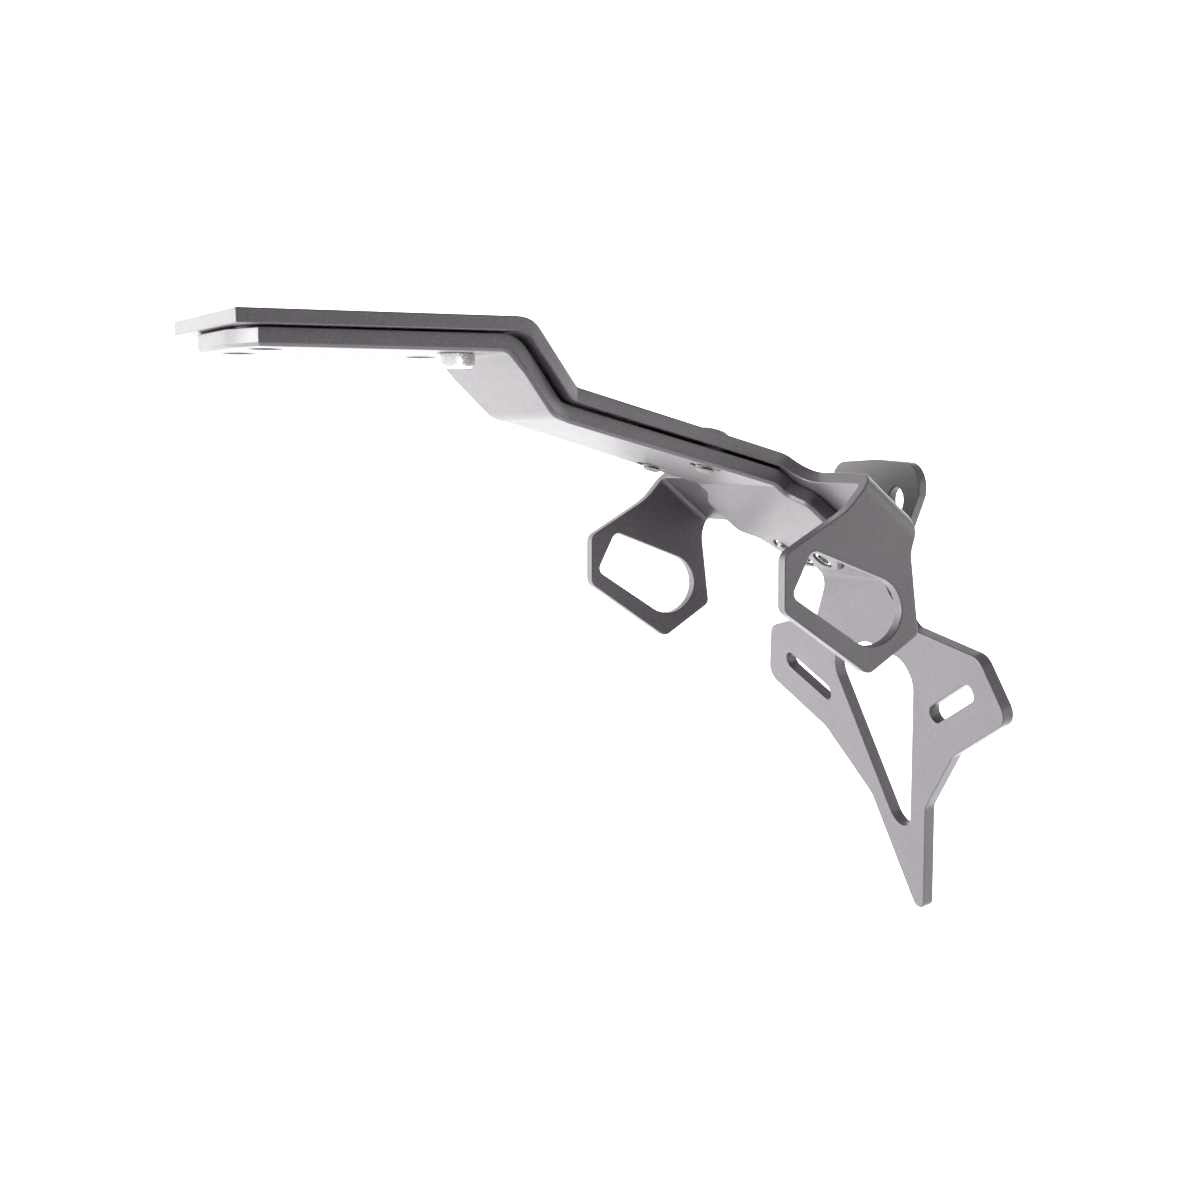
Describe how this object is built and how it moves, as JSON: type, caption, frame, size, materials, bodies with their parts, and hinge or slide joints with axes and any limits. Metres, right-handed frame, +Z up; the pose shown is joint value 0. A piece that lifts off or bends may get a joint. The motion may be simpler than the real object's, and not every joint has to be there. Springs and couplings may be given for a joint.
{
  "type": "tail tidy",
  "caption": "Folded plate tail tidy for a motorbike, with indicator rings, a slotted number plate holder and a lamp bracket.",
  "frame": {"origin": "centre of the four mounting holes on the top face of the upper plate", "axes": "+X to the rear of the motorbike, +Y to its right side, +Z up, out of the mounting face"},
  "size_m": [0.2383, 0.1324, 0.1861],
  "materials": {
    "coated_plate": "satin powder coat",
    "screw_steel": "dark zinc",
    "insert_steel": "zinc",
    "spacer": "satin"
  },
  "bodies": {
    "root": {"upper_plate": "coated_plate", "lower_plate": "coated_plate", "plate_holder": "coated_plate", "lamp_bracket": "coated_plate", "mount_spacer_front_left": "spacer", "mount_spacer_front_right": "spacer", "mount_spacer_rear_left": "spacer", "mount_spacer_rear_right": "spacer", "arm_spacer_left": "spacer", "arm_spacer_right": "spacer", "arm_screw_left": "screw_steel", "arm_screw_right": "screw_steel", "arm_insert_left": "insert_steel", "arm_insert_right": "insert_steel", "tail_screw_front_left": "screw_steel", "tail_screw_front_right": "screw_steel", "tail_screw_rear_left": "screw_steel", "tail_screw_rear_right": "screw_steel", "tail_insert_front_left": "insert_steel", "tail_insert_front_right": "insert_steel", "tail_insert_rear_left": "insert_steel", "tail_insert_rear_right": "insert_steel"}
  },
  "joints": []
}
